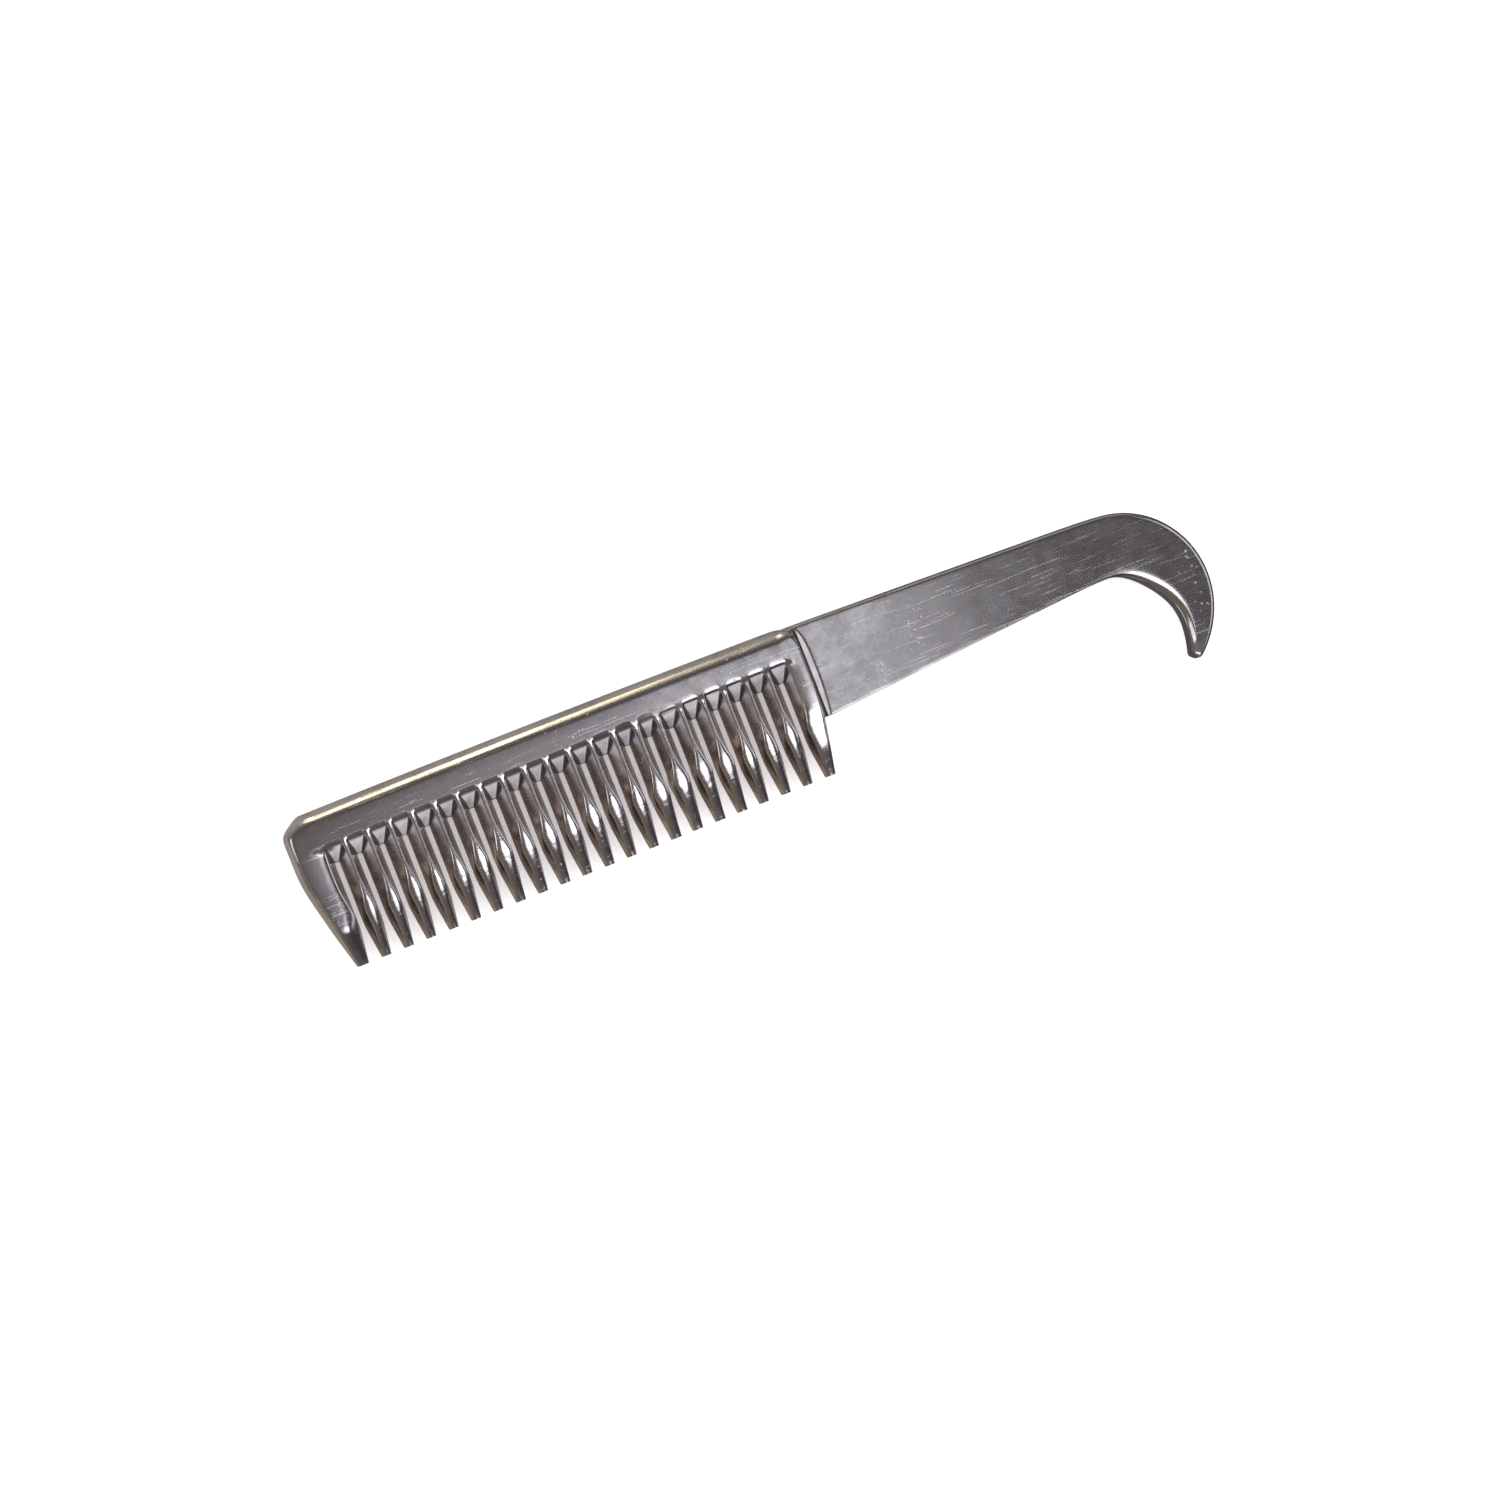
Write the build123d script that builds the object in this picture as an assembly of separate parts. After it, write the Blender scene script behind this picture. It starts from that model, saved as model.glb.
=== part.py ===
from build123d import *
from math import cos, radians, sin, tan
import os

# Mane pulling comb with a flat handle that ends in a hoof pick.
# X runs along the comb towards the hoof pick, Y from the teeth to the back bar, Z is the thickness.
# The comb lies on its back face. While it is drawn, X = 0 is the far end of the head, Y = 0 is the
# root line of the teeth and Z = 0 the back face; the origin is moved under its middle at the end.

# Head: back bar and teeth
head_thickness = 8.0
bar_height = 8.6
bar_rise = 0.35
bar_height_at_handle = 7.7
end_chamfer_length = 4.7
end_chamfer_height = 3.2
heel_corner_radius = 4.6
head_edge_radius = 1.1

# Teeth and the gaps between them
inner_tooth_count = 20
tooth_pitch = 5.78
tooth_length = 29.6
far_tooth_width = 9.64
near_tooth_width = 7.06
ridge_width = 1.2
ridge_tip_width = 0.3
tooth_tip_width = 2.4
gap_width = 1.0
gap_spread_depth = 21.0
gap_root_depth = 4.3
gap_root_radius = 0.45
seam_below_root = 0.7

# Thinning of the teeth towards their tips
knee_depth = 16.5
knee_radius = 37.0
tip_thickness = 3.0

# Leaning outer edges of the two end teeth
far_lean_start = 4.0
far_lean_angle = 13.2
near_lean_start = 8.4
near_lean_angle = 9.0
lean_radius = 30.0

# Handle
handle_step = 1.2
handle_length = 79.0
handle_top_at_head = 7.2
handle_top_fall = 2.0
handle_bottom_rise = 4.3
handle_edge_radius = 1.1

# Tang that fixes the handle in the back bar
tang_length = 12.0
tang_height = 4.4
tang_thickness = 3.0
tang_centre_height = 2.2
tang_side_clearance = 0.05
tang_end_clearance = 0.2

# Hoof pick. Its inner edge is freehand: these points are measured from the centre of the outer arc.
hook_outer_radius = 22.6
neck_shift = 2.4
neck_width = 14.8
hook_inner_points = [
    (1.6, 7.2),
    (4.9, 5.0),
    (7.6, 2.1),
    (9.9, -1.0),
    (11.5, -4.0),
    (12.25, -7.2),
    (12.3, -10.4),
    (11.8, -13.6),
    (10.9, -17.0),
]
hook_outer_end_angle = 56.0
hook_tip_radius = 1.0

# Derived sizes, and how far cutting shapes run past what they cut
gap_count = inner_tooth_count + 1
head_length = far_tooth_width + inner_tooth_count * tooth_pitch + near_tooth_width
mid_plane = head_thickness / 2
seam_y = -(gap_root_depth + seam_below_root)
handle_thickness = head_thickness - 2 * handle_step
hook_centre_x = head_length + handle_length
hook_centre_y = (
    handle_top_at_head
    - handle_length * tan(radians(handle_top_fall))
    - hook_outer_radius / cos(radians(handle_top_fall))
)
neck_x = hook_centre_x - neck_shift
neck_y = hook_centre_y + hook_outer_radius - neck_width
outside = 20.0
past_tip = 1.0
past_face = 0.5
tang_overlap = 1.0


def gap_centre(number):
    """X of a gap, counted from the far end."""
    return far_tooth_width + number * tooth_pitch


def block(x_low, x_high, y_low, y_high, z_low, z_high):
    """Box between two corners."""
    size = (x_high - x_low, y_high - y_low, z_high - z_low)
    middle = ((x_low + x_high) / 2, (y_low + y_high) / 2, (z_low + z_high) / 2)
    return Pos(*middle) * Box(*size)


def on_circle(centre_x, centre_y, radius, degrees):
    """Point of a circle, at an angle from +X."""
    angle = radians(degrees)
    return (centre_x + radius * cos(angle), centre_y + radius * sin(angle))


def leaning_edge(start_x, start_depth, lean, side):
    """Outer edge of an end tooth: straight, one arc, then straight past the tip. side is +1 or -1."""
    angle = radians(lean)
    arc_start = (start_x, -start_depth)
    arc_end = (
        start_x - side * lean_radius * (1 - cos(angle)),
        -start_depth - lean_radius * sin(angle),
    )
    run = tooth_length + outside + arc_end[1]
    edge_end = (arc_end[0] - side * run * tan(angle), arc_end[1] - run)
    arc = TangentArc(arc_start, arc_end, tangent=(0, -1))
    return arc, Line(arc_end, edge_end), edge_end


def head_outline():
    """Front view of back bar and teeth together, without the gaps."""
    chamfer_low = (0, bar_height - end_chamfer_height)
    chamfer_high = (end_chamfer_length, bar_height)
    heel_top = (head_length - heel_corner_radius, bar_height_at_handle)
    heel_side = (head_length, bar_height_at_handle - heel_corner_radius)
    crown = (
        (chamfer_high[0] + heel_top[0]) / 2,
        (chamfer_high[1] + heel_top[1]) / 2 + bar_rise,
    )
    near_arc, near_line, near_end = leaning_edge(head_length, near_lean_start, near_lean_angle, 1)
    far_arc, far_line, far_end = leaning_edge(0, far_lean_start, far_lean_angle, -1)
    edges = [
        Line((0, -far_lean_start), chamfer_low),
        Line(chamfer_low, chamfer_high),
        ThreePointArc(chamfer_high, crown, heel_top),
        RadiusArc(heel_top, heel_side, heel_corner_radius),
        Line(heel_side, (head_length, -near_lean_start)),
        near_arc,
        near_line,
        Line(near_end, far_end),
        far_line,
        far_arc,
    ]
    return make_face(Wire(edges))


def thinning_outline():
    """Side view of the head: full thickness at the root, thinner towards the tips."""
    tip_half = tip_thickness / 2
    view = Polygon(
        (bar_height + outside, 0),
        (bar_height + outside, head_thickness),
        (-knee_depth, head_thickness),
        (-tooth_length, mid_plane + tip_half),
        (-tooth_length, mid_plane - tip_half),
        (-knee_depth, 0),
        align=None,
    )
    knees = view.vertices().sort_by(Axis.X)[2:4]
    return fillet(knees, knee_radius)


def rim_edges(plate, middle_height):
    """Edges around the two flat faces of a plate."""
    return plate.edges().filter_by(lambda e: abs(e.center().Z - middle_height) > middle_height / 2)


def head_blank():
    """Head with its rounded outer edge and thinned tips, before the gaps are formed."""
    prism = extrude(head_outline(), head_thickness)
    rounded = fillet(rim_edges(prism, mid_plane), head_edge_radius)
    side = extrude(Plane.YZ * thinning_outline(), head_length + 2 * outside)
    return rounded & Pos(-outside, 0, 0) * side


def gap_section(height):
    """Outline of a gap at a height above the mid-plane, where it is narrow until it spreads between the tips."""
    share = height / mid_plane
    root_y = -gap_root_depth * (1 - share)
    tip_y = -tooth_length - past_tip
    face_root_half = (tooth_pitch - ridge_width) / 2
    face_tip_half = (tooth_pitch - ridge_tip_width) / 2
    face_spread_half = face_root_half + (face_tip_half - face_root_half) * gap_spread_depth / tooth_length
    root_half = gap_width / 2 + share * (face_root_half - gap_width / 2)
    spread_half = gap_width / 2 + share * (face_spread_half - gap_width / 2)
    narrow_tip_half = (tooth_pitch - tooth_tip_width) / 2
    tip_half = narrow_tip_half + share * (face_tip_half - narrow_tip_half)
    outline = Polygon(
        (-root_half, root_y),
        (root_half, root_y),
        (spread_half, -gap_spread_depth),
        (tip_half, tip_y),
        (-tip_half, tip_y),
        (-spread_half, -gap_spread_depth),
        align=None,
    )
    root_corners = outline.vertices().sort_by(Axis.Y)[-2:]
    return Pos(0, 0, mid_plane + height) * fillet(root_corners, gap_root_radius)


def gap_core():
    """Space between two teeth: two halves that widen from the mid-plane to the faces."""
    front = loft([gap_section(0).face(), gap_section(mid_plane + past_face).face()], ruled=True)
    return front + mirror(front, about=Plane.XY.offset(mid_plane))


def back_bar(blank, core):
    """Bar that the teeth stand on, with the sloped roots of the gaps and the handle's socket."""
    bar = blank & block(-outside, head_length + outside, seam_y, bar_height + outside, 0, head_thickness)
    for number in range(gap_count):
        bar -= Pos(gap_centre(number), 0, 0) * core
    return bar - tang(tang_side_clearance, tang_end_clearance)


def tooth(blank, core, first_x, last_x, core_places):
    """One tooth below the back bar, between two planes across the comb."""
    piece = blank & block(first_x, last_x, -tooth_length - past_tip, seam_y, 0, head_thickness)
    for place in core_places:
        piece -= Pos(place, 0, 0) * core
    return piece


def tang(side_clearance=0.0, end_clearance=0.0):
    """Flat tongue of the handle inside the back bar, or its socket when clearances are given."""
    low_x = head_length - tang_length - end_clearance
    half_height = tang_height / 2 + side_clearance
    half_thickness = tang_thickness / 2 + side_clearance
    return block(
        low_x,
        head_length + tang_overlap,
        tang_centre_height - half_height,
        tang_centre_height + half_height,
        mid_plane - half_thickness,
        mid_plane + half_thickness,
    )


def handle_outline():
    """Front view of handle and hoof pick together, running on under the head's rounded corner."""
    fall = tan(radians(handle_top_fall))
    rise = tan(radians(handle_bottom_rise))
    start_x = head_length - heel_corner_radius
    top_end = on_circle(hook_centre_x, hook_centre_y, hook_outer_radius, 90 - handle_top_fall)
    top_start = (start_x, top_end[1] + (top_end[0] - start_x) * fall)
    outer_mid = on_circle(hook_centre_x, hook_centre_y, hook_outer_radius, 20)
    outer_end = on_circle(hook_centre_x, hook_centre_y, hook_outer_radius, -hook_outer_end_angle)
    neck = (neck_x, neck_y)
    bottom_start = (start_x, neck_y - (neck_x - start_x) * rise)
    inner_points = [(hook_centre_x + x, hook_centre_y + y) for x, y in hook_inner_points]
    last_run = (hook_inner_points[-1][0] - hook_inner_points[-2][0], hook_inner_points[-1][1] - hook_inner_points[-2][1])
    inner_edge = Spline(neck, *inner_points, tangents=[(1, rise), last_run])
    edges = [
        Line(bottom_start, top_start),
        Line(top_start, top_end),
        ThreePointArc(top_end, outer_mid, outer_end),
        Line(outer_end, inner_points[-1]),
        inner_edge,
        Line(neck, bottom_start),
    ]
    face = make_face(Wire(edges))
    tip_corners = face.vertices().filter_by(lambda v: v.Y < hook_centre_y - hook_outer_radius / 2)
    return fillet(tip_corners, hook_tip_radius)


def handle_blank():
    """Handle and hoof pick in one, fitted against the head's end and with its tang."""
    plate = extrude(handle_outline(), handle_thickness)
    rims = rim_edges(plate, handle_thickness / 2).filter_by(lambda e: e.center().X > head_length)
    plate = Pos(0, 0, handle_step) * fillet(rims, handle_edge_radius)
    return plate - extrude(head_outline(), head_thickness) + tang()


def build_pieces():
    """All pieces by name, in the drawing position."""
    blank = head_blank()
    core = gap_core()
    pieces = {"back_bar": back_bar(blank, core)}
    first_gap = gap_centre(0)
    last_gap = gap_centre(gap_count - 1)
    pieces["far_end_tooth"] = tooth(blank, core, -outside, first_gap, [first_gap])
    first_tooth = tooth(blank, core, first_gap, first_gap + tooth_pitch, [first_gap, first_gap + tooth_pitch])
    for number in range(inner_tooth_count):
        pieces[f"tooth_{number + 1:02d}"] = Pos(number * tooth_pitch, 0, 0) * first_tooth
    pieces["near_end_tooth"] = tooth(blank, core, last_gap, head_length + outside, [last_gap])
    handle = handle_blank()
    far_x = hook_centre_x + hook_outer_radius + outside
    low_y = hook_centre_y - hook_outer_radius - outside
    high_y = bar_height + outside
    pieces["handle_bar"] = handle & block(0, neck_x, low_y, high_y, 0, head_thickness)
    pieces["hoof_pick_hook"] = handle & block(neck_x, far_x, low_y, high_y, 0, head_thickness)
    return pieces


def write_pieces(pieces):
    """Move the origin under the middle of the comb and write one file per piece."""
    box = Compound(children=[Part() + piece for piece in pieces.values()]).bounding_box()
    centre = box.center()
    os.makedirs("parts", exist_ok=True)
    for name, piece in pieces.items():
        export_step(Pos(-centre.X, -centre.Y, 0) * piece, f"parts/{name}.step")


write_pieces(build_pieces())
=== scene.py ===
import math
import random
import bmesh
import bpy
from mathutils import Matrix, Vector


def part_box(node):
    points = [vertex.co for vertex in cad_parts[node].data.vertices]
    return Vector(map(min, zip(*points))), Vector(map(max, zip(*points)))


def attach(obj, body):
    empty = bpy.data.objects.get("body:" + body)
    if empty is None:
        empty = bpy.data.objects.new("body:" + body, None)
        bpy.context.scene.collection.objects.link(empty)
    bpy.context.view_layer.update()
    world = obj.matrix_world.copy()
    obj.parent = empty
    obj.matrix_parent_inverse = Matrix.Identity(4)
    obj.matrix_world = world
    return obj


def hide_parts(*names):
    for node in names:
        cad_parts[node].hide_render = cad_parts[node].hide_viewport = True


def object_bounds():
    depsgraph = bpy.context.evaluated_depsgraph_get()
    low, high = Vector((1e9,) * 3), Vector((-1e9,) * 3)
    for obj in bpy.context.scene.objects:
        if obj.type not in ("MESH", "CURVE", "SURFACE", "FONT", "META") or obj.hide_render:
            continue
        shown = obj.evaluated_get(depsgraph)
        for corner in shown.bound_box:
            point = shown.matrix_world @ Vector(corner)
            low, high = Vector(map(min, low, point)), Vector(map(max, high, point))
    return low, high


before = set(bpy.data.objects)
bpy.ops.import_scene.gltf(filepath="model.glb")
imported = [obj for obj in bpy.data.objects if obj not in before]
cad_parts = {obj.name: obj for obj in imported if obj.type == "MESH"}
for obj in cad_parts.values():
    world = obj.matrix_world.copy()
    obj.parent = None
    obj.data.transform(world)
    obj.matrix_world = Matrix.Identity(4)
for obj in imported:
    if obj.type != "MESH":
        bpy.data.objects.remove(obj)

# Scene: the comb lies flat on a pale table. The camera looks down at it, a little from its far end, with the
# comb turned so that the hoof pick points up to the right.
mm = 0.001
cad_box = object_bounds()
comb_middle = (cad_box[0] + cad_box[1]) / 2

camera_distance = 1700 * mm
camera_side_tilt = math.radians(12.5)
camera_teeth_tilt = math.radians(-2.0)
camera_roll = math.radians(21.44)
camera_view_width = 357.0 * mm
camera_film_width = 36.0
camera_aim = comb_middle + Vector((-5.6 * mm, -2.6 * mm, 4 * mm))

camera_data = bpy.data.cameras.new("camera")
camera_data.sensor_width = camera_film_width
camera_data.lens = camera_film_width * camera_distance / camera_view_width
camera_data.clip_start = 0.01
camera_data.clip_end = 20.0
camera = bpy.data.objects.new("camera", camera_data)
bpy.context.scene.collection.objects.link(camera)
camera_way = Vector((-math.tan(camera_side_tilt), -math.tan(camera_teeth_tilt), 1.0)).normalized()
camera_right = Vector((math.cos(camera_roll), -math.sin(camera_roll), 0.0))
camera_up = camera_way.cross(camera_right).normalized()
camera_right = camera_up.cross(camera_way)
camera_turn = Matrix((camera_right, camera_up, camera_way)).transposed().to_4x4()
camera.matrix_world = Matrix.Translation(camera_aim + camera_way * camera_distance) @ camera_turn
bpy.context.scene.camera = camera


# Comb head: back bar and teeth. One aluminium casting, poured in a two-part mould that opens along the
# mid-plane, so every gap widens from there to the faces. It is tumbled, then its faces and outer edge are
# polished. The gaps end at the root line on the faces, and depths are measured down from that line.
bar_low, bar_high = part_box("back_bar")
first_low, first_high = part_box("tooth_01")
second_low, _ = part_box("tooth_02")
far_x = bar_low.x
near_x = bar_high.x
tip_y = first_low.y
seam_y = bar_low.y
root_y = seam_y + 5.0 * mm
mid_z = (bar_low.z + bar_high.z) / 2
head_half = (bar_high.z - bar_low.z) / 2
# Tooth 0 is at the far end and the last tooth at the handle's end.
last_tooth = 21
first_x = (first_low.x + first_high.x) / 2
tooth_pitch = second_low.x - first_low.x
tooth_length = root_y - tip_y

# A tooth's half width at the mid-plane, the depth where the gaps start to spread, and how much deeper than on
# the faces a gap ends there. An end tooth's outer edge leans in from a depth, by an angle.
full_waist = (first_high.x - first_low.x) / 2
tip_waist = 1.25 * mm
spread_depth = 21.5 * mm
root_drop = 4.7 * mm
far_lean = (4.0 * mm, math.radians(13.2))
near_lean = (8.4 * mm, math.radians(9.0))

# The back bar's top edge over the root line: its height, its fall towards the handle, and its bow.
bar_height = 8.6 * mm
bar_fall = 0.9 * mm
bow_rise = 1.4 * mm
bow_length = 123.0 * mm
far_chamfer = 4.7 * mm
heel_radius = 4.6 * mm
heel_y = root_y + 3.1 * mm

# Half thickness of a tooth, and half width of the flat facet along it, as (depth, value) in millimetres.
thinning = {
    "inner": [(12.5, 4.0), (16.0, 3.85), (20.0, 3.42), (23.0, 2.95), (29.6, 1.5)],
    "far": [(21.0, 4.0), (29.6, 1.5)],
    "near": [(8.5, 4.0), (14.0, 3.8), (23.0, 3.0), (29.6, 1.5)],
}
ridge_halves = [
    (0.0, 0.80), (3.0, 0.42), (12.0, 0.42), (14.5, 1.05), (17.5, 1.90), (20.8, 1.15), (29.6, 0.90),
]

# No two teeth come off the wheel alike.
hand_finish = random.Random(11)
ridge_wander = [hand_finish.uniform(-0.12, 0.12) * mm for _ in range(last_tooth + 1)]
facet_spread = [hand_finish.uniform(0.8, 1.2) for _ in range(last_tooth + 1)]
knee_shift = [hand_finish.uniform(-0.7, 0.7) * mm for _ in range(last_tooth + 1)]


def along(points, depth):
    """Value at a depth along a list of (depth, value) points, in millimetres, held flat past both ends."""
    depth = min(max(depth / mm, points[0][0]), points[-1][0])
    for (upper, upper_value), (lower, lower_value) in zip(points, points[1:]):
        if depth <= lower:
            return (upper_value + (lower_value - upper_value) * (depth - upper) / (lower - upper)) * mm


def waist(depth):
    """Half width of a tooth at the mid-plane: full until the gaps spread, then narrowing to the tip."""
    if depth <= spread_depth:
        return full_waist
    share = (depth - spread_depth) / (tooth_length - spread_depth)
    return full_waist + (tip_waist - full_waist) * share


def leaning(depth, start, angle, radius=30 * mm):
    """How far an end tooth's outer edge has come in at a depth: upright, then an arc, then straight."""
    run = depth - start
    arc_run = radius * math.sin(angle)
    if run <= 0:
        return 0.0
    if run < arc_run:
        return radius - math.sqrt(radius**2 - run**2)
    return radius * (1 - math.cos(angle)) + (run - arc_run) * math.tan(angle)


def bar_top(x):
    """Top edge of the back bar: a very flat bow that falls a little towards the handle."""
    share = min(max((x - far_x - far_chamfer) / bow_length, 0.0), 1.0)
    return root_y + bar_height - bar_fall * share + bow_rise * share * (1 - share)


# Rows of the casting's cage run from the tips to the bar's top edge; columns run along the comb.
row_depths_mm = (31.4, 30.4, 28.0, 25.0, 22.5, 20.8, 19.0, 17.0, 14.5, 11.0, 7.0, 3.8, 1.7, 0.5, -0.5, -2.9)
row_depths = [depth * mm for depth in row_depths_mm]
root_row = row_depths_mm.index(0.5)
inset_row = len(row_depths)
top_row = inset_row + 1
columns = [(0, part) for part in ("outer", "inset", "middle", "ridge_right", "foot_right", "gap")]
for number in range(1, last_tooth):
    for part in ("foot_left", "ridge_left", "middle", "ridge_right", "foot_right", "gap"):
        columns.append((number, part))
columns += [(last_tooth, part) for part in ("foot_left", "ridge_left", "middle", "inset", "outer")]
top_inset = 3.0 * mm
far_inset = 1.2 * mm
near_inset = 0.9 * mm
foot_width = 0.55 * mm
foot_mould_width = 0.25 * mm


def column_x(number, part, depth):
    """Place of a column along the comb, at a depth below the root line."""
    centre = first_x + (number - 1) * tooth_pitch + (ridge_wander[number] if depth > 0 else 0.0)
    far_edge = far_x + leaning(depth, *far_lean)
    near_edge = near_x - leaning(depth, *near_lean)
    half = along(ridge_halves, depth - knee_shift[number]) * facet_spread[number]
    if part == "outer":
        return far_edge if number == 0 else near_edge
    if part == "inset":
        return far_edge + far_inset if number == 0 else near_edge - near_inset
    if part == "middle" and number == 0:
        return (far_edge + far_inset + centre + half) / 2
    if part == "middle" and number == last_tooth:
        return (near_edge - near_inset + centre - half) / 2
    offsets = {
        "foot_left": -half - foot_width,
        "ridge_left": -half,
        "middle": 0.0,
        "ridge_right": half,
        "foot_right": half + foot_width,
        "gap": tooth_pitch / 2,
    }
    return centre + offsets[part]


def heel_point(degrees, inward=0.0):
    """Point on the rounded corner at the handle's end, or that far inside it."""
    angle = math.radians(degrees)
    reach = heel_radius - inward
    return (near_x - heel_radius + reach * math.cos(angle), heel_y + reach * math.sin(angle))


# The two top corners: a chamfer at the far end, a round corner at the handle's end.
corner_points = {
    (0, "outer", top_row): (far_x + far_chamfer / 2, root_y + 7.0 * mm),
    (0, "inset", top_row): (far_x + far_chamfer, root_y + bar_height),
    (0, "middle", top_row): (far_x + 5.7 * mm, root_y + bar_height),
    (0, "outer", inset_row): (far_x, root_y + 5.4 * mm),
    (0, "inset", inset_row): (far_x + 3.0 * mm, root_y + 5.4 * mm),
    (0, "middle", inset_row): (far_x + 5.5 * mm, root_y + 6.1 * mm),
    (last_tooth, "foot_left", top_row): (near_x - 6.6 * mm, root_y + 7.72 * mm),
    (last_tooth, "ridge_left", top_row): (near_x - 5.7 * mm, root_y + 7.71 * mm),
    (last_tooth, "middle", top_row): heel_point(90),
    (last_tooth, "inset", top_row): heel_point(67.5),
    (last_tooth, "outer", top_row): heel_point(45),
    (last_tooth, "outer", inset_row): heel_point(22.5),
    (last_tooth, "outer", inset_row - 1): heel_point(0),
    (last_tooth, "inset", inset_row - 1): heel_point(0, near_inset),
    (last_tooth, "inset", inset_row): heel_point(45, near_inset * 1.2),
    (last_tooth, "middle", inset_row): heel_point(90, top_inset),
}

# Small falls of the face: at the bar's top edge, at the edges of a tooth's facet above its knee and past it,
# along the facet's middle, and at the root line, where the lip fades in from the far end to the middle.
top_edge_fall = 0.9 * mm
knee_depth = 13 * mm
ridge_fall = 0.22 * mm
lower_ridge_fall = 0.13 * mm
crown_fall = 0.12 * mm
lip_fall = 0.13 * mm
lip_start_x = -45 * mm
lip_fade = 35 * mm


def face_point(number, part, row):
    """Point of the cage on the front face, measured from the mid-plane."""
    bar_z = head_half - (top_edge_fall if row == top_row else 0.0)
    if (number, part, row) in corner_points:
        return Vector((*corner_points[(number, part, row)], bar_z))
    if row >= inset_row:
        x = column_x(number, part, 0.0)
        return Vector((x, bar_top(x) - (top_inset if row == inset_row else 0.0), bar_z))
    depth = row_depths[row]
    x = column_x(number, part, depth)
    fall = 0.0
    if row < root_row and part.startswith("ridge"):
        fall = ridge_fall if depth < knee_depth else lower_ridge_fall
    elif row < root_row and part == "middle" and depth < knee_depth and 0 < number < last_tooth:
        fall = crown_fall
    elif row == root_row and (part == "gap" or part.startswith("foot")):
        fall = lip_fall * min(max((x - lip_start_x) / lip_fade, 0.0), 1.0)
    kind = "near" if number == last_tooth else "inner"
    if number == 0 and part in ("outer", "inset", "middle"):
        kind = "far"
    return Vector((x, root_y - depth, along(thinning[kind], depth) - fall))


def mould_point(number, part, row, face):
    """Where the wall under a rim point meets the mid-plane: gaps close up, outer walls drop straight."""
    straight = Vector((face.x, face.y, 0.0))
    if row > root_row or part in ("outer", "inset", "middle"):
        return straight
    depth = root_drop + row_depths[row] * (1 - root_drop / tooth_length)
    if part == "gap":
        return Vector((face.x, root_y - depth, 0.0))
    side = 1 if part.endswith("right") else -1
    centre = first_x + (number - 1) * tooth_pitch
    reach = waist(depth) + (foot_mould_width if part.startswith("foot") else 0.0)
    return Vector((centre + side * reach, root_y - depth, 0.0))


# Share of the wall's height taken by the rounding of its edge.
rim_shares = {"bar top": 0.72, "bar corner": 0.4, "far edge": 0.3, "near edge": 0.22, "gap": 0.1}


def rim_share(number, part, row):
    """Rounding of the edge at a point of the rim."""
    if row >= inset_row:
        return rim_shares["bar corner" if part in ("outer", "inset") else "bar top"]
    if part == "outer":
        return rim_shares["far edge" if number == 0 else "near edge"]
    return rim_shares["gap"]


def new_cage(across, up):
    """Grid whose points can hold their place on the face, their place at the mid-plane, and a rim share."""
    cage = bmesh.new()
    bmesh.ops.create_grid(cage, x_segments=across, y_segments=up, size=1.0)
    face_layer = cage.verts.layers.float_vector.new("at_face")
    mould_layer = cage.verts.layers.float_vector.new("at_mould")
    rim_layer = cage.verts.layers.float.new("rim")
    return cage, face_layer, mould_layer, rim_layer


def grid_place(coordinate, steps):
    """Step of a new grid that a coordinate between -1 and 1 lies on."""
    return (coordinate + 1) / 2 * steps


last_column = len(columns) - 1
head_cage, at_face, at_mould, rim = new_cage(last_column, top_row)
gap_faces = []
for face in head_cage.faces:
    centre = face.calc_center_median()
    column = int(grid_place(centre.x, last_column))
    row = int(grid_place(centre.y, top_row))
    in_gap = columns[column][1] in ("ridge_right", "foot_right", "gap", "foot_left")
    if in_gap and row < root_row:
        gap_faces.append(face)
for vertex in head_cage.verts:
    number, part = columns[round(grid_place(vertex.co.x, last_column))]
    row = round(grid_place(vertex.co.y, top_row))
    vertex[at_face] = face_point(number, part, row)
    vertex[at_mould] = mould_point(number, part, row, vertex[at_face])
    vertex[rim] = rim_share(number, part, row)
    vertex.co = vertex[at_face]
bmesh.ops.delete(head_cage, geom=gap_faces, context="FACES")

weld_distance = 1e-7


def drop_walls(cage, steps):
    """Draw the open rim of a front face down to the mid-plane in rings, then mirror it to the back."""
    face_layer = cage.verts.layers.float_vector["at_face"]
    mould_layer = cage.verts.layers.float_vector["at_mould"]
    rim_layer = cage.verts.layers.float["rim"]
    edges = [edge for edge in cage.edges if edge.is_boundary]
    for step in steps:
        made = bmesh.ops.extrude_edge_only(cage, edges=edges)["geom"]
        for vertex in [item for item in made if isinstance(item, bmesh.types.BMVert)]:
            share = vertex[rim_layer] + (1 - vertex[rim_layer]) * step
            vertex.co = vertex[face_layer].lerp(vertex[mould_layer], share)
        edges = [item for item in made if isinstance(item, bmesh.types.BMEdge) and item.is_boundary]
    for vertex in {vertex for edge in edges for vertex in edge.verts}:
        vertex.co.z = 0.0
    everything = cage.verts[:] + cage.edges[:] + cage.faces[:]
    bmesh.ops.mirror(cage, geom=everything, matrix=Matrix.Identity(4), merge_dist=weld_distance, axis="Z")
    bmesh.ops.remove_doubles(cage, verts=cage.verts[:], dist=weld_distance)
    bmesh.ops.recalc_face_normals(cage, faces=cage.faces[:])


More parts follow.
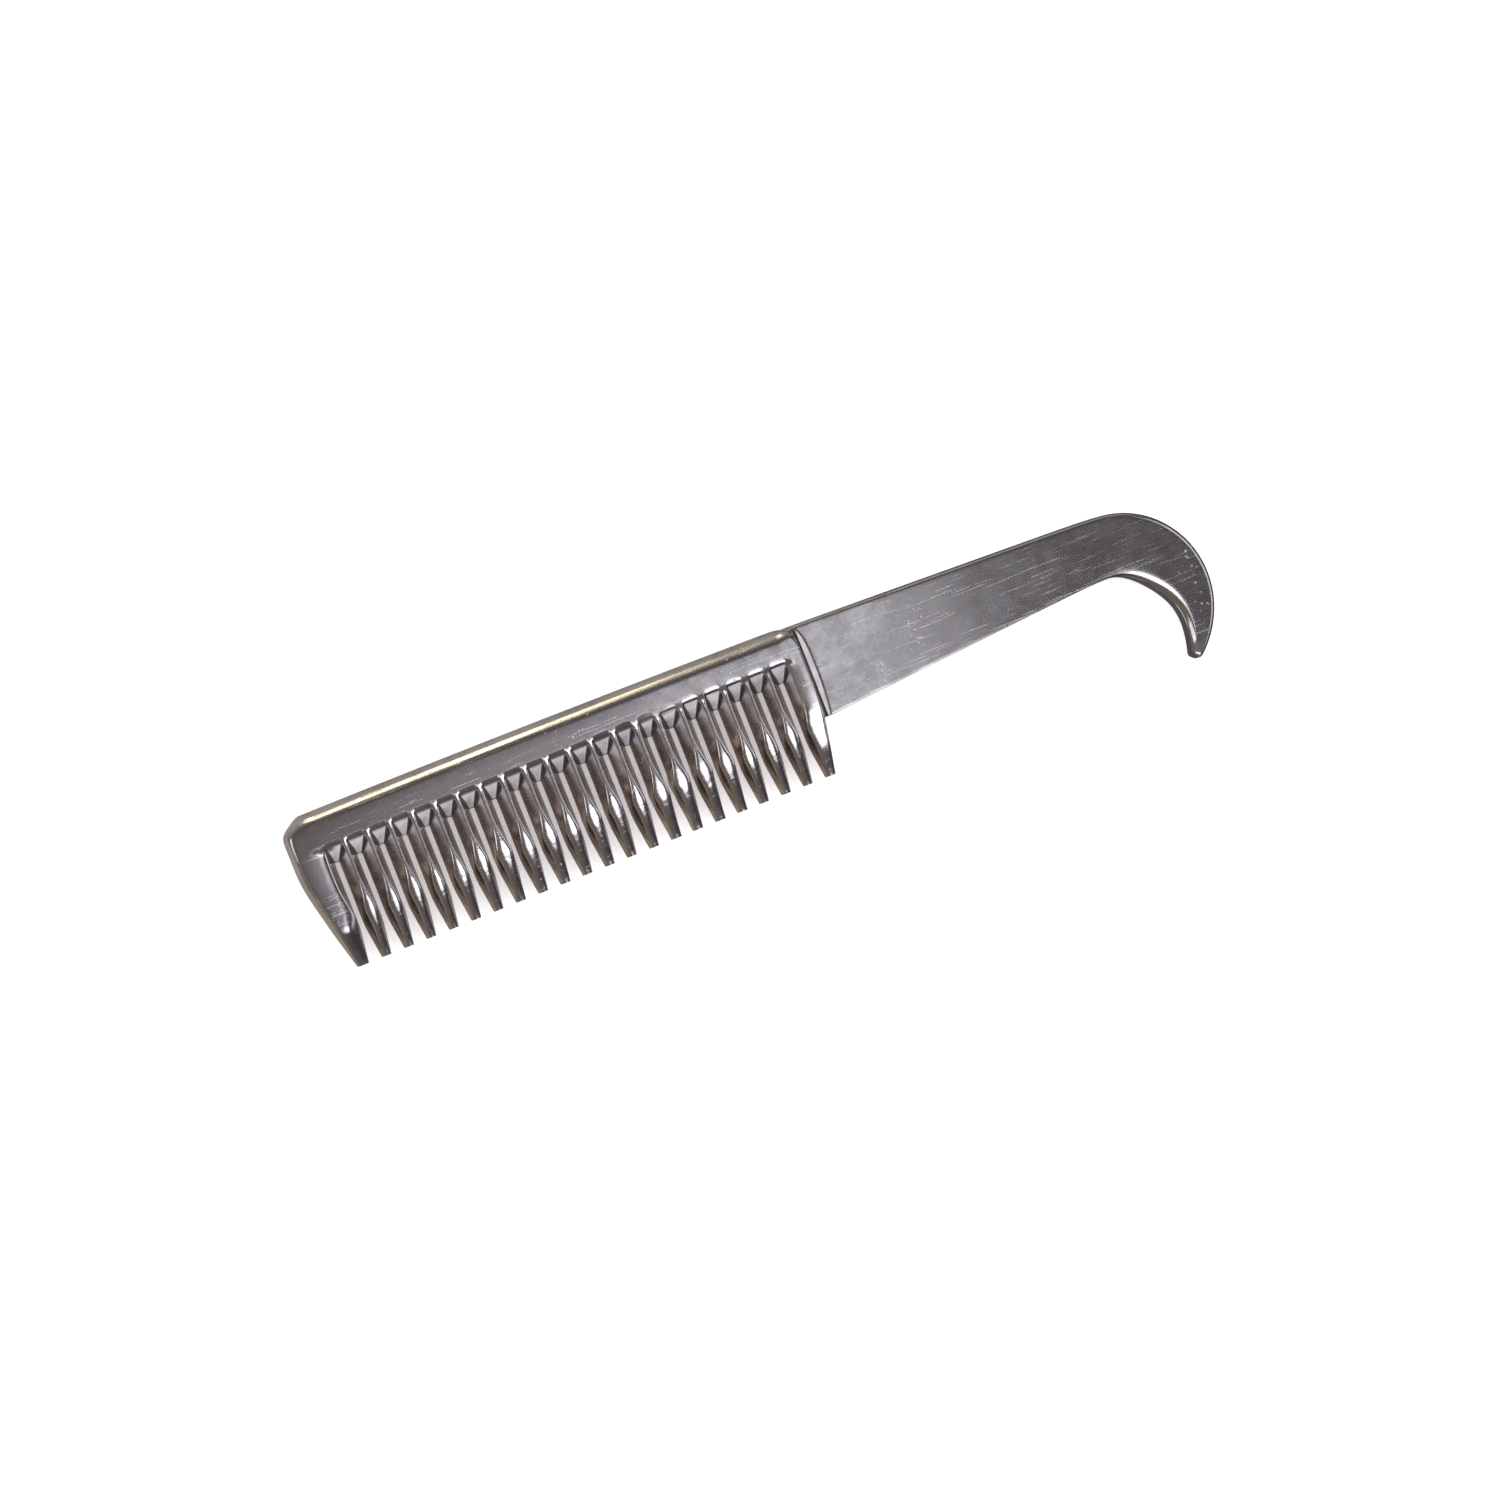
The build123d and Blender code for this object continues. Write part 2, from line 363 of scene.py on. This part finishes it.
def smooth_casting(cage, levels):
    """Round a cage off with a subdivision surface and hand the result back as a bmesh at its own height."""
    mesh = bpy.data.meshes.new("casting_cage")
    cage.to_mesh(mesh)
    cage.free()
    holder = bpy.data.objects.new("casting_cage", mesh)
    bpy.context.scene.collection.objects.link(holder)
    modifier = holder.modifiers.new("round_off", "SUBSURF")
    modifier.levels = levels
    modifier.render_levels = levels
    evaluated = holder.evaluated_get(bpy.context.evaluated_depsgraph_get())
    smooth = bmesh.new()
    smooth.from_mesh(evaluated.to_mesh())
    evaluated.to_mesh_clear()
    bpy.data.objects.remove(holder)
    bpy.data.meshes.remove(mesh)
    bmesh.ops.translate(smooth, verts=smooth.verts[:], vec=(0, 0, mid_z))
    return smooth


def cut_off(casting, place, normal):
    """Copy of a casting with what lies on the normal's side of a plane cut away, and the cut closed flat."""
    piece = casting.copy()
    everything = piece.verts[:] + piece.edges[:] + piece.faces[:]
    bmesh.ops.bisect_plane(
        piece, geom=everything, dist=weld_distance, plane_co=place, plane_no=normal, clear_outer=True
    )
    open_edges = [edge for edge in piece.edges if edge.is_boundary]
    for face in piece.faces:
        face.smooth = True
    caps = bmesh.ops.holes_fill(piece, edges=open_edges, sides=0)["faces"]
    for face in caps:
        face.smooth = False
        for edge in face.edges:
            edge.smooth = False
    return piece


def finish_piece(casting, name, material, *nodes):
    """Make an object of a finished bmesh and set it in place of its CAD nodes."""
    mesh = bpy.data.meshes.new(name)
    casting.to_mesh(mesh)
    casting.free()
    piece = bpy.data.objects.new(name, mesh)
    bpy.context.scene.collection.objects.link(piece)
    mesh.materials.append(material)
    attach(piece, "root")
    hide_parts(*nodes)


# Polished aluminium, the skin of the whole comb. It shows fine scratches along the comb, small casting pores,
# finger smudges and slow waves left by the wheel. The wheel did not reach down the gaps, so walls there are
# duller, and they carry a painted reflection tint, brown on sides facing the far end and violet towards the
# handle. Dark painted reflections lie where the metal rolls over at the roots, the seam and the rims.
def effect_group(name, outputs):
    """Empty node group with a Vector and an Amount input and number outputs, and its two end nodes."""
    group = bpy.data.node_groups.new(name, "ShaderNodeTree")
    group.interface.new_socket(name="Vector", in_out="INPUT", socket_type="NodeSocketVector")
    amount = group.interface.new_socket(name="Amount", in_out="INPUT", socket_type="NodeSocketFloat")
    amount.default_value = 1.0
    for title in outputs:
        group.interface.new_socket(name=title, in_out="OUTPUT", socket_type="NodeSocketFloat")
    return group, group.nodes.new("NodeGroupInput"), group.nodes.new("NodeGroupOutput")


def noise(tree, vector, scale, detail, roughness=0.5):
    """Noise texture that reads a vector socket."""
    texture = tree.nodes.new("ShaderNodeTexNoise")
    texture.inputs["Scale"].default_value = scale
    texture.inputs["Detail"].default_value = detail
    texture.inputs["Roughness"].default_value = roughness
    tree.links.new(vector, texture.inputs["Vector"])
    return texture.outputs["Fac"]


def ramp(tree, value, zero_at, one_at):
    """Smooth change from 0 to 1 of a value socket, held flat past both ends."""
    node = tree.nodes.new("ShaderNodeMapRange")
    node.interpolation_type = "SMOOTHSTEP"
    node.inputs["From Min"].default_value = zero_at
    node.inputs["From Max"].default_value = one_at
    tree.links.new(value, node.inputs["Value"])
    return node.outputs["Result"]


def combine(tree, operation, first, second=0.0):
    """Math node on two sockets or numbers."""
    node = tree.nodes.new("ShaderNodeMath")
    node.operation = operation
    for value, socket in zip((first, second), node.inputs):
        if isinstance(value, float):
            socket.default_value = value
        else:
            tree.links.new(value, socket)
    return node.outputs["Value"]


def product(tree, first, *others):
    """Product of several sockets and numbers."""
    for other in others:
        first = combine(tree, "MULTIPLY", first, other)
    return first


def mask(tree, *ramps):
    """Product of smooth ramps, each given as a socket, where it is 0 and where it is 1."""
    return product(tree, *[ramp(tree, *values) for values in ramps])


def mixed(tree, factor, under, over, blend="MIX"):
    """Colour over another by a factor socket, where each colour is a socket or plain."""
    node = tree.nodes.new("ShaderNodeMix")
    node.data_type = "RGBA"
    node.blend_type = blend
    tree.links.new(factor, node.inputs["Factor"])
    for name, colour in (("A", under), ("B", over)):
        if isinstance(colour, tuple):
            node.inputs[name].default_value = colour
        else:
            tree.links.new(colour, node.inputs[name])
    return node.outputs["Result"]


def bump(tree, height, distance, sunk=False, over=None):
    """Normal socket of a bump of half strength, raised or sunk, alone or over another bump."""
    node = tree.nodes.new("ShaderNodeBump")
    node.invert = sunk
    node.inputs["Strength"].default_value = 0.5
    node.inputs["Distance"].default_value = distance
    tree.links.new(height, node.inputs["Height"])
    if over:
        tree.links.new(over, node.inputs["Normal"])
    return node.outputs["Normal"]


# Scratches: three sets of lines, each with its angle in degrees, its fineness across, and how few there are.
scratch_sets = ((2.0, 2600.0, 0.60), (-24.0, 1900.0, 0.66), (63.0, 1500.0, 0.68))
scratch_run = 70.0
scratch_softness = 0.12
scratch_group, ends, out = effect_group("hairline_scratches", ["Scratches"])
joined = None
for turn, fineness, fewness in scratch_sets:
    mapping = scratch_group.nodes.new("ShaderNodeMapping")
    mapping.inputs["Rotation"].default_value = (0.0, 0.0, math.radians(turn))
    mapping.inputs["Scale"].default_value = (scratch_run, fineness, fineness)
    scratch_group.links.new(ends.outputs["Vector"], mapping.inputs["Vector"])
    lines = noise(scratch_group, mapping.outputs["Vector"], 1.0, 2.0)
    lines = ramp(scratch_group, lines, fewness, fewness + scratch_softness)
    joined = lines if joined is None else combine(scratch_group, "MAXIMUM", joined, lines)
scratches = product(scratch_group, joined, ends.outputs["Amount"])
scratch_group.links.new(scratches, out.inputs["Scratches"])

# Pores: round dots, one in each cell of about 1.6 mm, in loose patches.
pore_scale = 620.0
pore_patch_scale = 75.0
pore_group, ends, out = effect_group("casting_pores", ["Pores"])
cells = pore_group.nodes.new("ShaderNodeTexVoronoi")
cells.inputs["Scale"].default_value = pore_scale
cells.inputs["Randomness"].default_value = 1.0
pore_group.links.new(ends.outputs["Vector"], cells.inputs["Vector"])
patches = noise(pore_group, ends.outputs["Vector"], pore_patch_scale, 3.0)
pores = mask(pore_group, (cells.outputs["Distance"], 0.26, 0.12), (patches, 0.53, 0.68))
pores = product(pore_group, pores, ends.outputs["Amount"])
pore_group.links.new(pores, out.inputs["Pores"])

# Smudges: broad clouds with finer ones in them, and the wheel's slow wave.
cloud_scale = 90.0
cloud_share = 0.62
small_cloud_scale = 380.0
small_cloud_share = 0.38
wave_scale = 55.0
smudge_group, ends, out = effect_group("finger_smudges", ["Smudge", "Wave"])
clouds = noise(smudge_group, ends.outputs["Vector"], cloud_scale, 5.0, 0.62)
clouds = product(smudge_group, ramp(smudge_group, clouds, 0.34, 0.70), cloud_share)
small = noise(smudge_group, ends.outputs["Vector"], small_cloud_scale, 3.0, 0.6)
small = product(smudge_group, ramp(smudge_group, small, 0.38, 0.66), small_cloud_share)
smudges = product(smudge_group, combine(smudge_group, "ADD", clouds, small), ends.outputs["Amount"])
smudge_group.links.new(smudges, out.inputs["Smudge"])
smudge_group.links.new(noise(smudge_group, ends.outputs["Vector"], wave_scale, 1.0), out.inputs["Wave"])


def polished_metal(name, face_colour, least_rough):
    """Polished aluminium with its marks, the duller skin where the wheel did not reach, and its painted
    reflections.
    """
    material = bpy.data.materials.new(name)
    material.use_nodes = True
    tree = material.node_tree
    shader = tree.nodes["Principled BSDF"]
    shader.inputs["Metallic"].default_value = 1.0
    place = tree.nodes.new("ShaderNodeTexCoord")
    marks = {}
    for group in (scratch_group, pore_group, smudge_group):
        node = tree.nodes.new("ShaderNodeGroup")
        node.node_tree = group
        tree.links.new(place.outputs["Object"], node.inputs["Vector"])
        for socket in node.outputs:
            marks[socket.name] = socket
    spot = tree.nodes.new("ShaderNodeSeparateXYZ")
    tree.links.new(place.outputs["Object"], spot.inputs["Vector"])
    x, y = spot.outputs["X"], spot.outputs["Y"]
    facing = tree.nodes.new("ShaderNodeSeparateXYZ")
    tree.links.new(place.outputs["Normal"], facing.inputs["Vector"])
    facing_x, facing_y, facing_z = facing.outputs["X"], facing.outputs["Y"], facing.outputs["Z"]
    flatness = combine(tree, "ABSOLUTE", facing_z)

    # Walls down the gaps are duller, and each side carries a painted reflection tint, brown facing the far end
    # and violet facing the handle; and the wall at a gap's root.
    in_gaps = (y, root_y - 4.0 * mm, root_y - 7.0 * mm)
    on_head = (x, near_x + 1.0 * mm, near_x)
    dull_gap_wall_and_reflection = mask(tree, (flatness, 0.97, 0.80), in_gaps, on_head)
    brown_reflection_side = (0.66, 0.60, 0.50, 1)
    violet_reflection_side = (0.66, 0.60, 0.70, 1)
    wall_reflection_colour = mixed(tree, ramp(tree, facing_x, -0.2, 0.2), brown_reflection_side, violet_reflection_side)
    root_wall = mask(tree, (facing_y, -0.62, -0.76), (y, root_y - 7.0 * mm, root_y - 5.5 * mm))

    # Painted dark reflections in dashes along the root line: between the teeth at the far end, on the teeth
    # towards the handle.
    turns = product(tree, combine(tree, "SUBTRACT", x, first_x), 2 * math.pi / tooth_pitch)
    beat = combine(tree, "COSINE", turns)
    far_part = ramp(tree, x, -12.0 * mm, -32.0 * mm)
    between_teeth = product(tree, far_part, ramp(tree, beat, 0.80, 0.45))
    on_teeth = product(tree, combine(tree, "SUBTRACT", 1.0, far_part), ramp(tree, beat, 0.55, 0.85))
    root_edge_dark_reflection = mask(tree, (facing_y, -0.005, -0.03), (y, root_y - 1.5 * mm, root_y - 0.9 * mm))
    root_edge_dark_reflection = product(
        tree,
        root_edge_dark_reflection,
        combine(tree, "ADD", between_teeth, on_teeth),
        combine(tree, "SUBTRACT", 1.0, root_wall),
    )

    # The far end tooth's root, and the side of each tooth that faces the far end, get a painted dark reflection
    # where they roll over too.
    far_root_dark_reflection = mask(
        tree,
        (x, first_x - 2.0 * mm, first_x - 3.5 * mm),
        (facing_y, -0.03, -0.08),
        (y, root_y - 2.5 * mm, root_y - 1.0 * mm),
    )
    ridge_side_dark_reflection = mask(
        tree,
        (facing_x, -0.06, -0.22),
        (y, root_y - 13.0 * mm, root_y - 10.0 * mm),
        (y, root_y - 0.8 * mm, root_y - 1.8 * mm),
        (facing_z, 0.60, 0.85),
        (x, near_x - 0.5 * mm, near_x - 2.5 * mm),
    )
    painted_dark_edge = combine(tree, "MAXIMUM", root_edge_dark_reflection, far_root_dark_reflection)
    painted_dark_edge = combine(tree, "MAXIMUM", painted_dark_edge, product(tree, ridge_side_dark_reflection, 0.75))

    # Painted dark reflections at the seam where the handle leaves the head, on the pick's outer rim, and on the
    # handle's rim on the teeth's side.
    seam_dark_reflection = mask(
        tree,
        (x, near_x - 1.0 * mm, near_x - 0.4 * mm),
        (x, near_x + 0.4 * mm, near_x + 0.1 * mm),
        (facing_x, 0.05, 0.30),
    )
    rounded = (flatness, 0.08, 0.30)
    pick_rim_dark_reflection = mask(tree, (facing_x, 0.12, 0.35), (x, near_x + 50.0 * mm, near_x + 62.0 * mm), rounded)
    handle_rim_dark_reflection = mask(
        tree,
        (facing_y, -0.05, -0.20),
        (x, near_x + 1.5 * mm, near_x + 2.5 * mm),
        (x, near_x + 88.0 * mm, near_x + 78.0 * mm),
        rounded,
    )

    # Each skin lies over the ones before it: its mask, its colour and the roughness it adds.
    skins = (
        # The gap walls' tints and the dark edge, seam and rim colours are painted reflections; the root walls
        # and pores are the metal's own.
        (dull_gap_wall_and_reflection, wall_reflection_colour, 0.05),
        (root_wall, (0.86, 0.85, 0.90, 1), 0.40),
        (painted_dark_edge, (0.27, 0.25, 0.26, 1), 0.35),
        (seam_dark_reflection, (0.10, 0.09, 0.09, 1), 0.40),
        (pick_rim_dark_reflection, (0.16, 0.155, 0.14, 1), 0.25),
        (handle_rim_dark_reflection, (0.16, 0.16, 0.18, 1), 0.0),
        (marks["Pores"], (0.93, 0.92, 0.94, 1), 0.25),
    )
    smudge_tint = (0.66, 0.66, 0.70, 1)
    smudge_rough = 0.07
    scratch_rough = 0.08
    colour = face_colour
    rough = product(tree, marks["Smudge"], smudge_rough)
    rough = combine(tree, "ADD", rough, product(tree, marks["Scratches"], scratch_rough))
    for skin, tint, added_rough in skins:
        colour = mixed(tree, skin, colour, tint)
        rough = combine(tree, "ADD", rough, product(tree, skin, added_rough))
    colour = mixed(tree, marks["Smudge"], colour, smudge_tint, "MULTIPLY")
    rough = combine(tree, "ADD", rough, least_rough)
    tree.links.new(colour, shader.inputs["Base Color"])
    tree.links.new(rough, shader.inputs["Roughness"])

    # The wheel's waves, small dents on the thin part of the teeth, and the scratches and pores cut into them.
    on_thin_teeth = (y, root_y - 10.0 * mm, root_y - 14.0 * mm)
    dents = noise(tree, place.outputs["Object"], 420.0, 1.0)
    dents = product(tree, dents, mask(tree, on_thin_teeth, on_head), 0.9)
    waves = bump(tree, combine(tree, "ADD", marks["Wave"], dents), 0.10 * mm)
    cuts = combine(tree, "ADD", product(tree, marks["Scratches"], 0.4), marks["Pores"])
    tree.links.new(bump(tree, cuts, 0.02 * mm, sunk=True, over=waves), shader.inputs["Normal"])
    return material


polished = polished_metal("polished_aluminium", (0.74, 0.72, 0.74, 1), 0.12)

# The smooth casting is cut along the seam into the back bar and the teeth, and the teeth's ends are cut flat.
drop_walls(head_cage, (0.0, 0.45, 0.85, 1.0))
head_casting = smooth_casting(head_cage, 2)
back_bar = cut_off(head_casting, (0, seam_y, 0), (0, -1, 0))
finish_piece(back_bar, "polished_back_bar", polished, "back_bar")
long_teeth = cut_off(head_casting, (0, seam_y, 0), (0, 1, 0))
teeth = cut_off(long_teeth, (0, tip_y, 0), (0, -1, 0))
tooth_names = [f"tooth_{number:02d}" for number in range(1, last_tooth)]
tooth_names = ["far_end_tooth", *tooth_names, "near_end_tooth"]
for number, name in enumerate(tooth_names):
    gap_before = first_x + (number - 1.5) * tooth_pitch if number > 0 else -math.inf
    gap_after = first_x + (number - 0.5) * tooth_pitch if number < last_tooth else math.inf
    tooth = teeth.copy()
    others = [vertex for vertex in tooth.verts if not gap_before <= vertex.co.x <= gap_after]
    bmesh.ops.delete(tooth, geom=others, context="VERTS")
    finish_piece(tooth, "polished_" + name, polished, name)
for casting in (head_casting, long_teeth, teeth):
    casting.free()


# Handle and hoof pick: a flat aluminium bar, a little thinner than the head, that narrows to a neck and turns
# down into a blunt pick. It is cast too, rounded over on top and outside, and a cove runs round the head's end
# where it starts. The bar and the pick meet at the neck.
handle_low, handle_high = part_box("handle_bar")
_, hook_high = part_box("hoof_pick_hook")
handle_half = (handle_high.z - handle_low.z) / 2
neck_x = handle_high.x
hook_radius = 22.6 * mm
hook_centre = Vector((hook_high.x - hook_radius, root_y - 18.13 * mm))
neck_bottom = Vector((neck_x, hook_centre.y + 7.8 * mm))
top_fall = 2.0
bottom_rise = 4.3
hook_start = 90.0 - top_fall
hook_end = -56.0


def on_circle(centre, radius, degrees):
    """Point of a circle at an angle from +X."""
    angle = math.radians(degrees)
    return centre + Vector((math.cos(angle), math.sin(angle))) * radius


def top_edge(x):
    """Point of the handle's straight top edge, which falls towards the pick."""
    tangent = on_circle(hook_centre, hook_radius, hook_start)
    return Vector((x, tangent.y + (tangent.x - x) * math.tan(math.radians(top_fall))))


def bottom_edge(x):
    """Point of the handle's straight bottom edge, which rises towards the pick."""
    return Vector((x, neck_bottom.y - (neck_x - x) * math.tan(math.radians(bottom_rise))))


def head_end(y):
    """X of the head's end wall at a height, round its top corner and down its leaning edge."""
    above = y - heel_y
    if above > 0:
        return near_x - heel_radius + math.sqrt(max(heel_radius**2 - above**2, 0.0))
    return near_x - leaning(root_y - y, *near_lean)


# Stations from the head's end to the pick's tip. Each holds its kind, its place, the height of the cove, and
# the inset and rim share that round the inner edge. Rows are shares of the way from outer to inner edge.
handle_rows = (0.0, "outer inset", 0.27, 0.5, 0.75, "inner inset", 1.0)
last_row = len(handle_rows) - 1
outer_inset = 1.8 * mm
inset_limit = 0.33
outer_rim = 0.6
bar_inset = 0.3 * mm
bar_rim = 0.12
hook_inset_gain = 1.3 * mm
hook_rim_gain = 0.25
hook_inner_fall = 0.75 * mm
stations = []
for offset, cove in ((-0.4, 0.60), (0.4, 0.38), (1.1, 0.17), (1.8, 0.0), (2.6, 0.0)):
    stations.append(("wall", offset * mm, cove * mm, bar_inset, bar_rim))
for run in (12.0, 28.0, 45.0, 62.0):
    stations.append(("bar", near_x + run * mm, 0.0, bar_inset, bar_rim))

# Round the hook: the share of the turn made, and the inner edge's point from its centre in millimetres.
hook_points = (
    (0.0, (-2.4, 7.8)), (0.1, (1.6, 7.2)), (0.2, (4.9, 5.0)), (0.3, (7.6, 2.1)), (0.41, (9.9, -1.0)),
    (0.52, (11.5, -4.0)), (0.64, (12.25, -7.2)), (0.76, (12.3, -10.4)), (0.88, (11.8, -13.6)),
    (0.965, (11.2, -16.0)), (1.0, (10.9, -17.0)),
)
for turned, inner_place in hook_points:
    soft = min(1.0, turned * 3)
    inset = bar_inset + hook_inset_gain * soft
    stations.append(("hook", (turned, inner_place), 0.0, inset, bar_rim + hook_rim_gain * soft))


def station_point(station, row):
    """Point of the handle's cage on the front face, measured from the mid-plane."""
    kind, place, cove, inner_inset, _ = station
    fall = 0.0
    if kind == "hook":
        turned, inner_place = place
        outer = on_circle(hook_centre, hook_radius, hook_start + (hook_end - hook_start) * turned)
        inner = hook_centre + Vector(inner_place) * mm
        if row == last_row:
            fall = hook_inner_fall * min(1.0, turned * 2.5)
    elif kind == "bar":
        outer, inner = top_edge(place), bottom_edge(place)
    else:
        outer, inner = top_edge(near_x), bottom_edge(near_x)
    across = inner - outer
    share = handle_rows[row]
    if share == "outer inset":
        share = min(outer_inset / across.length, inset_limit)
    elif share == "inner inset":
        share = max(1 - inner_inset / across.length, 1 - inset_limit)
    point = outer + across * share
    if kind == "wall":
        point.x = head_end(point.y) + place
    return Vector((point.x, point.y, handle_half + cove - fall))


last_station = len(stations) - 1
handle_cage, at_face, at_mould, rim = new_cage(last_station, last_row)
for vertex in handle_cage.verts:
    station = stations[round(grid_place(vertex.co.x, last_station))]
    row = last_row - round(grid_place(vertex.co.y, last_row))
    vertex[at_face] = station_point(station, row)
    vertex[at_mould] = Vector((vertex[at_face].x, vertex[at_face].y, 0.0))
    vertex[rim] = outer_rim if row == 0 else station[4]
    vertex.co = vertex[at_face]
drop_walls(handle_cage, (0.0, 0.5, 1.0))
handle_casting = smooth_casting(handle_cage, 3)
handle_bar = cut_off(handle_casting, (neck_x, 0, 0), (1, 0, 0))
finish_piece(handle_bar, "polished_handle_bar", polished, "handle_bar")
hoof_pick = cut_off(handle_casting, (neck_x, 0, 0), (-1, 0, 0))
finish_piece(hoof_pick, "polished_hoof_pick", polished, "hoof_pick_hook")
handle_casting.free()


# Table: a plain pale sheet, wide enough to fill the view. The polished metal mirrors it as a dull sheet, warm
# grey beside the head and near black past it.
def faded(tree, position, start, end, first, second):
    """Colour that changes evenly from a first to a second, between two places on a position socket."""
    run = tree.nodes.new("ShaderNodeMapRange")
    run.inputs["From Min"].default_value = start
    run.inputs["From Max"].default_value = end
    tree.links.new(position, run.inputs["Value"])
    return mixed(tree, run.outputs["Result"], first, second)


def two_looks(tree, plain, mirrored, output):
    """Let an output show a plain look, and another one to rays that come straight from the polished metal."""
    ray = tree.nodes.new("ShaderNodeLightPath")
    first_hand = combine(tree, "LESS_THAN", ray.outputs["Diffuse Depth"], 0.5)
    seen_by_metal = product(tree, ray.outputs["Is Glossy Ray"], first_hand)
    either = tree.nodes.new("ShaderNodeMixShader")
    tree.links.new(seen_by_metal, either.inputs["Fac"])
    tree.links.new(plain, either.inputs[1])
    tree.links.new(mirrored, either.inputs[2])
    tree.links.new(either.outputs["Shader"], output.inputs["Surface"])


table_mesh = bpy.data.meshes.new("table")
table_form = bmesh.new()
bmesh.ops.create_grid(table_form, x_segments=1, y_segments=1, size=3.0)
table_form.to_mesh(table_mesh)
table_form.free()
table = bpy.data.objects.new("table", table_mesh)
bpy.context.scene.collection.objects.link(table)
pale_table = bpy.data.materials.new("pale_table")
pale_table.use_nodes = True
tree = pale_table.node_tree
tree.nodes.clear()
pale_sheet = tree.nodes.new("ShaderNodeBsdfDiffuse")
pale_sheet.inputs["Color"].default_value = (0.93, 0.93, 0.93, 1)
sheet_lift = tree.nodes.new("ShaderNodeEmission")
sheet_lift.inputs["Color"].default_value = (1.0, 0.97, 0.95, 1)
sheet_lift.inputs["Strength"].default_value = 0.30
lit_sheet = tree.nodes.new("ShaderNodeAddShader")
tree.links.new(pale_sheet.outputs["BSDF"], lit_sheet.inputs[0])
tree.links.new(sheet_lift.outputs["Emission"], lit_sheet.inputs[1])
sheet_place = tree.nodes.new("ShaderNodeTexCoord")
sheet_spot = tree.nodes.new("ShaderNodeSeparateXYZ")
tree.links.new(sheet_place.outputs["Object"], sheet_spot.inputs["Vector"])
beside_head = (0.36, 0.32, 0.28, 1)
past_head = (0.10, 0.095, 0.10, 1)
dull_colour = faded(tree, sheet_spot.outputs["X"], 15 * mm, 45 * mm, beside_head, past_head)
dull_sheet = tree.nodes.new("ShaderNodeEmission")
tree.links.new(dull_colour, dull_sheet.inputs["Color"])
table_output = tree.nodes.new("ShaderNodeOutputMaterial")
two_looks(tree, lit_sheet.outputs["Shader"], dull_sheet.outputs["Emission"], table_output)
table_mesh.materials.append(pale_table)


# Studio: a bright even room for the table. Polished metal mirrors it as a dim room, warm at the far end, dark
# past the handle and paler behind the back bar, and lit by three soft lights overhead, three cards at the
# sides, a lamp at the handle's side and a warm lamp behind the back bar.
world = bpy.data.worlds.new("studio")
bpy.context.scene.world = world
world.use_nodes = True
tree = world.node_tree
tree.nodes.clear()
even_room = tree.nodes.new("ShaderNodeBackground")
even_room.inputs["Color"].default_value = (1.0, 1.0, 1.0, 1)
even_room.inputs["Strength"].default_value = 1.0
room_place = tree.nodes.new("ShaderNodeTexCoord")
room_way = tree.nodes.new("ShaderNodeSeparateXYZ")
tree.links.new(room_place.outputs["Generated"], room_way.inputs["Vector"])
far_wall = (0.165, 0.135, 0.11, 1)
handle_wall = (0.042, 0.038, 0.047, 1)
back_wall = (0.40, 0.37, 0.32, 1)
walls = faded(tree, room_way.outputs["X"], -0.10, 0.35, far_wall, handle_wall)
walls = faded(tree, room_way.outputs["Y"], 0.32, 0.75, walls, back_wall)
dim_room = tree.nodes.new("ShaderNodeBackground")
tree.links.new(walls, dim_room.inputs["Color"])
room_output = tree.nodes.new("ShaderNodeOutputWorld")
two_looks(tree, even_room.outputs["Background"], dim_room.outputs["Background"], room_output)

# Each soft light's name, place, aim, size, power in watts and colour.
soft_lights = (
    ("long_window", (0.20, -0.21, 1.0), (0.20, -0.21, 0.0), (0.26, 0.20), 0.52, (1.0, 1.0, 1.0)),
    ("heel_glow", (0.242, 0.05, 1.0), (0.242, 0.05, 0.0), (0.10, 0.34), 0.074, (0.95, 0.96, 1.0)),
    ("bar_glow", (0.13, 0.05, 1.0), (0.13, 0.05, 0.0), (0.13, 0.34), 0.020, (1.0, 0.97, 1.0)),
    ("teeth_side_card", (0.08, -1.0, 0.15), (0.0, 0.0, 0.0), (1.0, 0.5), 1.25, (1.0, 0.97, 1.0)),
    ("far_side_card", (-0.95, -0.25, 0.42), (0.1, 0.0, 0.0), (0.5, 0.35), 0.35, (1.0, 0.90, 0.78)),
    ("pick_card", (-0.50, 0.12, 0.9), (0.1, 0.0, 0.0), (0.3, 0.4), 0.5, (0.93, 0.97, 1.0)),
    ("handle_side_lamp", (0.55, 0.0, 0.5), (0.02, 0.0, 0.0), (0.4, 0.4), 0.45, (1.0, 0.97, 0.95)),
    ("warm_lamp", (0.12, 0.65, 0.8), (0.0, 0.0, 0.0), (0.12, 0.34), 0.45, (1.0, 0.86, 0.55)),
)
for name, place, aim, size, power, colour in soft_lights:
    light_data = bpy.data.lights.new(name, "AREA")
    light_data.shape = "RECTANGLE"
    light_data.size, light_data.size_y = size
    light_data.energy = power
    light_data.color = colour
    light = bpy.data.objects.new(name, light_data)
    bpy.context.scene.collection.objects.link(light)
    light.location = place
    light.rotation_mode = "QUATERNION"
    light.rotation_quaternion = (Vector(aim) - Vector(place)).to_track_quat("-Z", "Y")

bpy.context.scene.view_settings.view_transform = "Standard"
